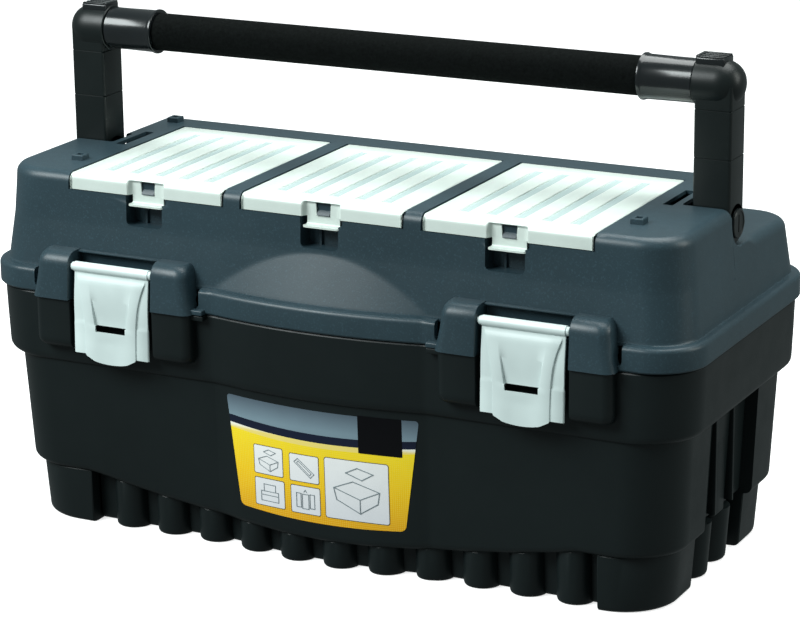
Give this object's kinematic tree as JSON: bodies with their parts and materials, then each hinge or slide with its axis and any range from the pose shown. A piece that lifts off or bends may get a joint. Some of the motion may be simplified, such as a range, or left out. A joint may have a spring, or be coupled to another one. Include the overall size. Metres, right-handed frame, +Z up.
{
  "type": "toolbox with tray",
  "caption": "Moulded toolbox with a hinged lid, draw latches, lid organizers with clear covers, a fold-down tube handle and a lift-out tray.",
  "frame": {"origin": "centre of the flat underside, under the middle of the rim", "axes": "+X to the right across the front, +Y towards the back, +Z up; the latches face -Y"},
  "size_m": [0.6, 0.2901, 0.4006],
  "materials": {
    "base_plastic": "fine moulded grain, near black",
    "lid_plastic": "fine moulded grain, slate",
    "handle_plastic": "satin moulded",
    "gloss_black": "glossy moulded",
    "grip_foam": "matt foam sleeve",
    "aluminium": "drawn tube",
    "steel": "drawn wire",
    "latch_grey": "satin silver grey",
    "organizer_white": "translucent, satin",
    "label_print": "printed film",
    "tray_plastic": "fine moulded grain"
  },
  "bodies": {
    "base": {"base_bin": "base_plastic", "front_label": "label_print", "hinge_pin_left": "steel", "hinge_pin_right": "steel"},
    "lid": {"lid_shell": "lid_plastic", "handle_pin_left": "handle_plastic", "handle_pin_right": "handle_plastic"},
    "handle": {"handle_arm_left": "handle_plastic", "handle_arm_right": "handle_plastic", "handle_clip_left": "gloss_black", "handle_clip_right": "gloss_black", "handle_ferrule_left": "gloss_black", "handle_ferrule_right": "gloss_black", "handle_grip": "grip_foam", "handle_tube": "aluminium"},
    "latch_left": {"latch_left": "latch_grey"},
    "latch_right": {"latch_right": "latch_grey"},
    "organizer_left": {"organizer_lid_left": "organizer_white"},
    "organizer_centre": {"organizer_lid_centre": "organizer_white"},
    "organizer_right": {"organizer_lid_right": "organizer_white"},
    "tray": {"tray": "tray_plastic"},
    "tray_handle": {"tray_handle": "latch_grey"}
  },
  "joints": [
    {"name": "lid_hinge", "type": "hinge", "parent": "base", "child": "lid", "pos_m": [0, 0.1395, 0.192], "axis": [-1, 0, 0], "range_deg": [0, 100]},
    {"name": "handle_fold", "type": "hinge", "parent": "lid", "child": "handle", "pos_m": [0, 0, 0.274], "axis": [-1, 0, 0], "range_deg": [0, 90]},
    {"name": "latch_left_pivot", "type": "hinge", "parent": "lid", "child": "latch_left", "pos_m": [-0.1748, -0.1374, 0.2187], "axis": [-1, 0, 0], "range_deg": [0, 110]},
    {"name": "latch_right_pivot", "type": "hinge", "parent": "lid", "child": "latch_right", "pos_m": [0.1748, -0.1374, 0.2187], "axis": [-1, 0, 0], "range_deg": [0, 110]},
    {"name": "organizer_left_hinge", "type": "hinge", "parent": "lid", "child": "organizer_left", "pos_m": [-0.153, 0.0524, 0.2866], "axis": [-1, 0, 0], "range_deg": [0, 46]},
    {"name": "organizer_centre_hinge", "type": "hinge", "parent": "lid", "child": "organizer_centre", "pos_m": [0, 0.0524, 0.2866], "axis": [-1, 0, 0], "range_deg": [0, 46]},
    {"name": "organizer_right_hinge", "type": "hinge", "parent": "lid", "child": "organizer_right", "pos_m": [0.153, 0.0524, 0.2866], "axis": [-1, 0, 0], "range_deg": [0, 46]},
    {"name": "tray_lift", "type": "slide", "parent": "base", "child": "tray", "axis": [0, 0, 1], "range_m": [0, 0.022]},
    {"name": "tray_handle_pivot", "type": "hinge", "parent": "tray", "child": "tray_handle", "pos_m": [0, 0, 0.172], "axis": [1, 0, 0], "range_deg": [0, 90]}
  ]
}
